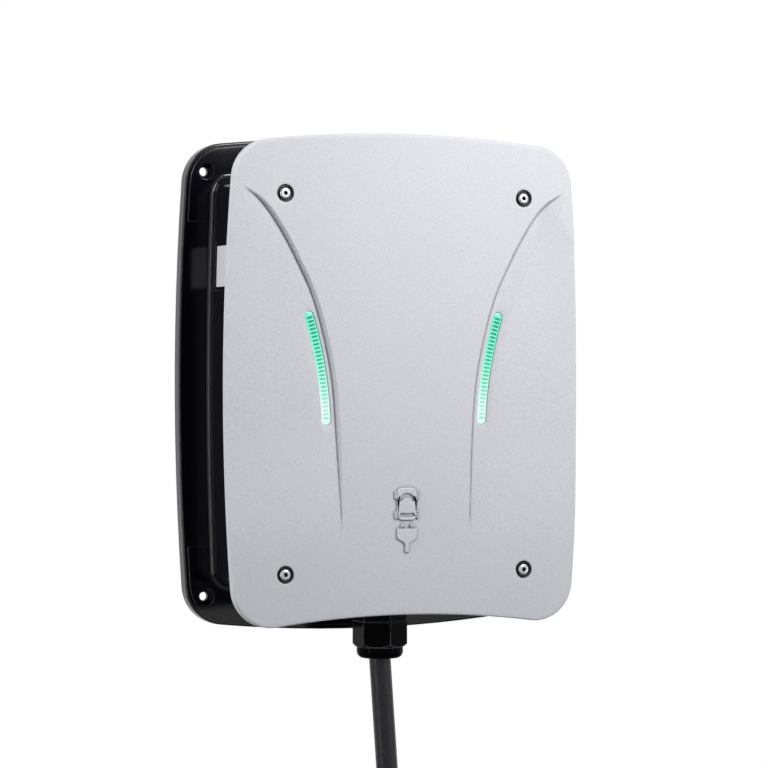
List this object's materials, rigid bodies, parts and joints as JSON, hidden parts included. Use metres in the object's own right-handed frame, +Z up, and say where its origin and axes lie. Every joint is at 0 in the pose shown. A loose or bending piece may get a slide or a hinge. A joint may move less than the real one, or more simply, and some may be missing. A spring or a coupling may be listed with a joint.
{
  "type": "wall-mounted vehicle charger",
  "caption": "Wall-mounted car charger with a wide wall flange, a silver front panel with curved status lights, and a coiled charging lead.",
  "frame": {"origin": "middle of the four wall holes, on the wall face", "axes": "+Z up, +Y into the wall, +X to the right seen from the front"},
  "size_m": [0.295, 0.1127, 0.9863],
  "materials": {
    "black_plastic": "moulded, satin black",
    "silver_panel": "fine-grained silver coating",
    "seal_rubber": "matt rubber",
    "zinc_steel": "zinc plated",
    "brass": "turned brass",
    "washer_plastic": "black nylon",
    "screw_steel": "stainless steel",
    "label_film": "blank white film",
    "light_guide": "translucent mint green",
    "circuit_board": "green solder mask",
    "gland_plastic": "moulded black nylon",
    "terminal_plastic": "grey moulded",
    "terminal_green": "green moulded",
    "relay_case": "black moulded",
    "module_case": "potted case",
    "capacitor_sleeve": "dark blue sleeve",
    "shield_can": "tinned can",
    "switch_body": "black moulded",
    "knob_plastic": "white moulded",
    "clamp_plastic": "black nylon",
    "sensor_case": "potted blue case",
    "cable_sheath": "matt dark grey sheath",
    "wire_brown": "PVC insulation",
    "wire_black": "PVC insulation",
    "wire_grey": "PVC insulation",
    "wire_blue": "PVC insulation",
    "wire_green_yellow": "PVC insulation",
    "wire_white": "PVC insulation",
    "boot_rubber": "moulded rubber",
    "connector_plastic": "satin black",
    "carrier_plastic": "dark grey moulded",
    "contact_silver": "silver plated",
    "cap_rubber": "soft moulded",
    "lever_orange": "orange moulded",
    "tie_strap": "hook-and-loop strap"
  },
  "bodies": {
    "charger": {"back_housing": "black_plastic", "board_screws": "zinc_steel", "cable_coil": "cable_sheath", "cable_entry": "cable_sheath", "cable_run": "cable_sheath", "cable_tail": "cable_sheath", "cable_tie_1": "tie_strap", "cable_tie_2": "tie_strap", "capacitor": "capacitor_sleeve", "clamp_screws": "zinc_steel", "connector_boot": "boot_rubber", "connector_contacts": "contact_silver", "connector_shell_left": "connector_plastic", "connector_shell_right": "connector_plastic", "contact_carrier": "carrier_plastic", "contact_plate": "carrier_plastic", "contact_sleeves": "carrier_plastic", "controller_module": "shield_can", "cover_screws": "zinc_steel", "cover_seal": "seal_rubber", "current_selector": "switch_body", "current_sensor": "sensor_case", "front_panel": "silver_panel", "gland_body": "gland_plastic", "gland_locknut": "gland_plastic", "gland_nut": "gland_plastic", "gland_rubber": "seal_rubber", "gland_washer": "seal_rubber", "housing_cover": "black_plastic", "led_board_left": "circuit_board", "led_board_right": "circuit_board", "light_guide_left": "light_guide", "light_guide_right": "light_guide", "main_board": "circuit_board", "output_terminal": "terminal_green", "panel_inserts": "brass", "panel_screws": "screw_steel", "panel_spacers": "black_plastic", "panel_washers": "washer_plastic", "pilot_wire": "wire_white", "power_supply": "module_case", "relay_left": "relay_case", "relay_right": "relay_case", "shell_screws": "zinc_steel", "side_label": "label_film", "strain_clamp": "clamp_plastic", "supply_grommet": "seal_rubber", "supply_terminal": "terminal_plastic", "wire_earth": "wire_green_yellow", "wire_l1": "wire_brown", "wire_l2": "wire_black", "wire_l3": "wire_grey", "wire_neutral": "wire_blue"},
    "lever_l1": {"terminal_lever_l1": "lever_orange"},
    "lever_l2": {"terminal_lever_l2": "lever_orange"},
    "lever_l3": {"terminal_lever_l3": "lever_orange"},
    "lever_neutral": {"terminal_lever_neutral": "lever_orange"},
    "lever_earth": {"terminal_lever_earth": "lever_orange"},
    "knob": {"selector_knob": "knob_plastic"},
    "cap": {"connector_cap": "cap_rubber"}
  },
  "joints": [
    {"name": "lever_l1_open", "type": "hinge", "parent": "charger", "child": "lever_l1", "pos_m": [-0.024, -0.0386, 0.091], "axis": [-1, 0, 0], "range_deg": [0, 85]},
    {"name": "lever_l2_open", "type": "hinge", "parent": "charger", "child": "lever_l2", "pos_m": [-0.012, -0.0386, 0.091], "axis": [-1, 0, 0], "range_deg": [0, 85]},
    {"name": "lever_l3_open", "type": "hinge", "parent": "charger", "child": "lever_l3", "pos_m": [0, -0.0386, 0.091], "axis": [-1, 0, 0], "range_deg": [0, 85]},
    {"name": "lever_neutral_open", "type": "hinge", "parent": "charger", "child": "lever_neutral", "pos_m": [0.012, -0.0386, 0.091], "axis": [-1, 0, 0], "range_deg": [0, 85]},
    {"name": "lever_earth_open", "type": "hinge", "parent": "charger", "child": "lever_earth", "pos_m": [0.024, -0.0386, 0.091], "axis": [-1, 0, 0], "range_deg": [0, 85]},
    {"name": "selector_turn", "type": "hinge", "parent": "charger", "child": "knob", "pos_m": [0.061, -0.0206, 0.06398], "axis": [0, -1, 0], "range_deg": [0, 300]},
    {"name": "cap_pull", "type": "slide", "parent": "charger", "child": "cap", "axis": [0, 0, -1], "range_m": [0, 0.045]}
  ]
}
